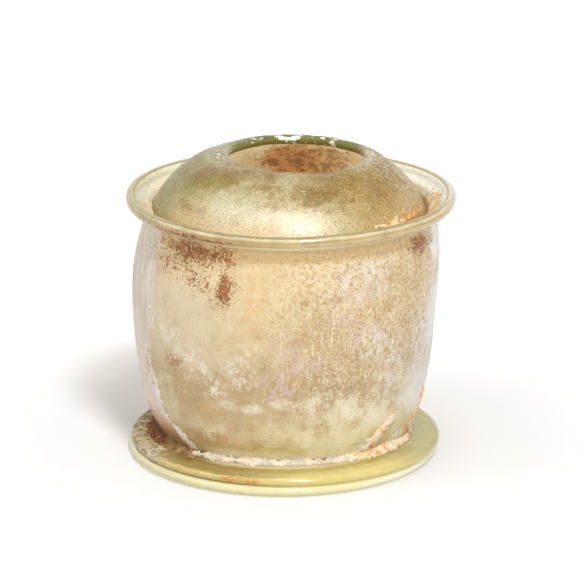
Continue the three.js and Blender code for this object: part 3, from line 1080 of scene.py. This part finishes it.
def lip_deposit(t, place, radius):
    """Deposit on the lid's lip where it sits in the flare."""
    there = hills(t, 0, (0.85, 56, 44), (0.45, -74, 30), (0.4, 150, 40))
    return 0.45 * (there - 0.3 - 0.2 * (place.z - 62.2)) + 0.2 * rough(place, 0.9, 4) - 0.04


def hole_grit(t, place, radius):
    """Grit round the hole, thickest at its two ends."""
    there = hills(t, 0, (0.6, -78, 38), (0.66, 82, 38), (0.24, 0, 60)) + 0.4 * bump(abs(t), 180, 30)
    return 0.5 * (there - 0.5 + 0.55 * rough(place, 0.55, 4)) - 0.06 * abs(radius - 18.8)


def build_foot_crusts(vessel, upper):
    """What lies on the vessel's wall and on the foot."""
    wall = cut(vessel[: from_highest(vessel)], inner=30.3, low=6.5)
    top = cut(upper, inner=30.9, outer=36.9, low=4.1)
    lime = encrusted(
        "junction_crust", 60,
        (0.18, 226, 218, 196), (0.3, 198, 188, 160), (0.38, 222, 210, 182), (0.45, 242, 226, 200),
        (0.52, 240, 218, 186), (0.57, 234, 188, 132), (0.7, 196, 138, 84), warm=(20, 36, 90, 120),
    )
    low = resampled(np.vstack([top, cut(wall, high=19)]), 0.36)
    crust("junction_crust", low, vessel_form, junction_crust, ALL_ROUND, 640, lime, *VESSEL)
    white = encrusted(
        "edge_crust", 64,
        (0.3, 246, 240, 234), (0.5, 236, 224, 210), (0.6, 216, 186, 148), (0.7, 178, 132, 88),
    )
    tall = resampled(cut(wall, high=57), 0.4)
    crust("edge_crust", tall, vessel_form, edge_crust, (-68, -34), 90, white, *VESSEL)
    hollow = resampled(np.vstack([top, cut(wall, high=16)]), 0.3)
    earth = hollow_soil()
    crust("hollow_soil", hollow, vessel_form, soil, (-120, -38), 220, earth, *VESSEL, air=0.04)
    edge = resampled(cut(upper[np.argmax(upper[:, 0] > 36) + 1 :], inner=35.0, low=2.7), 0.25)
    grey = encrusted(
        "seam_crust", 76,
        (0.32, 232, 226, 212), (0.46, 204, 194, 170), (0.58, 182, 164, 128), (0.7, 206, 162, 116),
    )
    crust("seam_crust", edge, disc_form, seam_crust, (-130, -36), 260, grey, "base", "upper_foot_glass")


def build_mouth_crusts(vessel, lid):
    """What lies in the flare, on the lid's lip and round its hole."""
    orange = encrusted(
        "gutter_deposit", 68,
        (0.3, 244, 232, 208), (0.45, 236, 206, 158), (0.58, 224, 174, 116), (0.72, 190, 130, 80),
        warm=(10, 40, 100, 130),
    )
    flare = resampled(cut(vessel[from_highest(vessel) :], inner=33.3, outer=37.4, low=60), 0.35)
    crust("gutter_deposit", flare, vessel_form, gutter, ALL_ROUND, 560, orange, *VESSEL)
    lip = resampled(cut(lid[: from_highest(lid)], inner=28.5, low=62.1), 0.3)
    crust("lip_deposit", lip, lid_form, lip_deposit, ALL_ROUND, 560, orange, *LID)
    grey = encrusted(
        "hole_grit", 72, (0.3, 240, 238, 230), (0.5, 214, 210, 196), (0.7, 206, 160, 108), size=2.0
    )
    dome = resampled(cut(lid[: from_highest(lid) + RIM_ROWS], outer=22.4, low=71), 0.2)
    crust("hole_grit", dome, lid_form, hole_grit, ALL_ROUND, 620, grey, *LID)


vessel_rows = build_vessel()
lid_rows = build_lid()
upper_rows = build_foot()
build_foot_crusts(vessel_rows, upper_rows)
build_mouth_crusts(vessel_rows, lid_rows)

# The floor, in metres: half its side and how far it lies below the foot. It glows for the eye, more so
# away from the pyxis, between two distances. The room is white.
FLOOR_REACH = 3.0
FLOOR_DROP = 0.0001
FLOOR_GLOW = (0.06, 0.7)
FLOOR_NEAR = 0.06
FLOOR_FAR = 0.3
PAPER = (0.84, 0.84, 0.84, 1)
SKY = 0.55

# Lamps: direction, distance, width and level, which is 1 where a surface facing the lamp shows white
LAMPS = {
    "key": ((0.17, -0.61, 0.78), 1500, 260, 0.72),
    "overhead": ((-0.05, -0.2, 0.97), 1200, 420, 0.12),
    "left": ((-0.64, -0.2, 0.74), 1200, 300, 0.08),
}
LIT_HEIGHT = 40


def eye_rays(nodes):
    """1 for rays that show the surface to the eye, straight, in gloss or through glass."""
    path = nodes.new("LightPath").outputs
    return nodes.either(path["Is Camera Ray"], path["Is Glossy Ray"], path["Is Transmission Ray"])


def build_floor():
    mesh = bpy.data.meshes.new("floor")
    corners = [(x * FLOOR_REACH, y * FLOOR_REACH, 0) for x, y in ((-1, -1), (1, -1), (1, 1), (-1, 1))]
    mesh.from_pydata(corners, [], [(0, 1, 2, 3)])
    floor = placed("floor", mesh)
    floor.location = (0, 0, -FLOOR_DROP)
    material = bpy.data.materials.new("floor")
    mesh.materials.append(material)
    nodes = Nodes(material)
    away = nodes.vector("LENGTH", nodes.new("TexCoord").outputs["Object"])
    glows = nodes.range(away, FLOOR_NEAR, FLOOR_FAR, *FLOOR_GLOW, blend="LINEAR")
    paper = nodes.new("BsdfDiffuse", PAPER)
    glow = nodes.new("Emission", Strength=nodes.both(eye_rays(nodes), glows))
    nodes.new("OutputMaterial", nodes.new("AddShader", paper.outputs[0], glow.outputs[0]).outputs[0])


def build_room():
    world = bpy.data.worlds.new("room")
    nodes = Nodes(world)
    sky = nodes.new("Background", Strength=nodes.range(eye_rays(nodes), 0, 1, SKY, 1, blend="LINEAR"))
    nodes.new("OutputWorld", sky.outputs[0])
    bpy.context.scene.world = world


def build_lamps():
    for name, (towards, distance, size, level) in LAMPS.items():
        data = bpy.data.lights.new(name, "AREA")
        data.shape = "DISK"
        data.size = size * MM
        data.energy = level * (math.pi * distance * MM) ** 2
        made = placed(name, data)
        towards = Vector(towards).normalized()
        made.location = (Vector((0, 0, LIT_HEIGHT)) + towards * distance) * MM
        made.rotation_euler = towards.to_track_quat("Z", "Y").to_euler()


def build_camera():
    data = bpy.data.cameras.new("camera")
    data.lens = CAMERA_LENS
    data.sensor_width = SENSOR_WIDTH
    data.clip_start = CLIP_START
    data.clip_end = CLIP_END
    made = placed("camera", data)
    cosine, sine = math.cos(CAMERA_ELEVATION), math.sin(CAMERA_ELEVATION)
    ahead = Vector((0, cosine, -sine))
    right = Vector((1, 0, 0))
    up = Vector((0, sine, cosine))
    made.location = (Vector((FOOT_AXIS, 0, CAMERA_MIDDLE)) - ahead * CAMERA_DISTANCE) * MM
    aim = (ahead + right * AIM_RIGHT + up * AIM_UP).normalized()
    made.rotation_euler = aim.to_track_quat("-Z", "Y").to_euler()
    bpy.context.scene.camera = made


build_floor()
build_room()
build_lamps()
build_camera()
bpy.context.scene.view_settings.view_transform = "Standard"
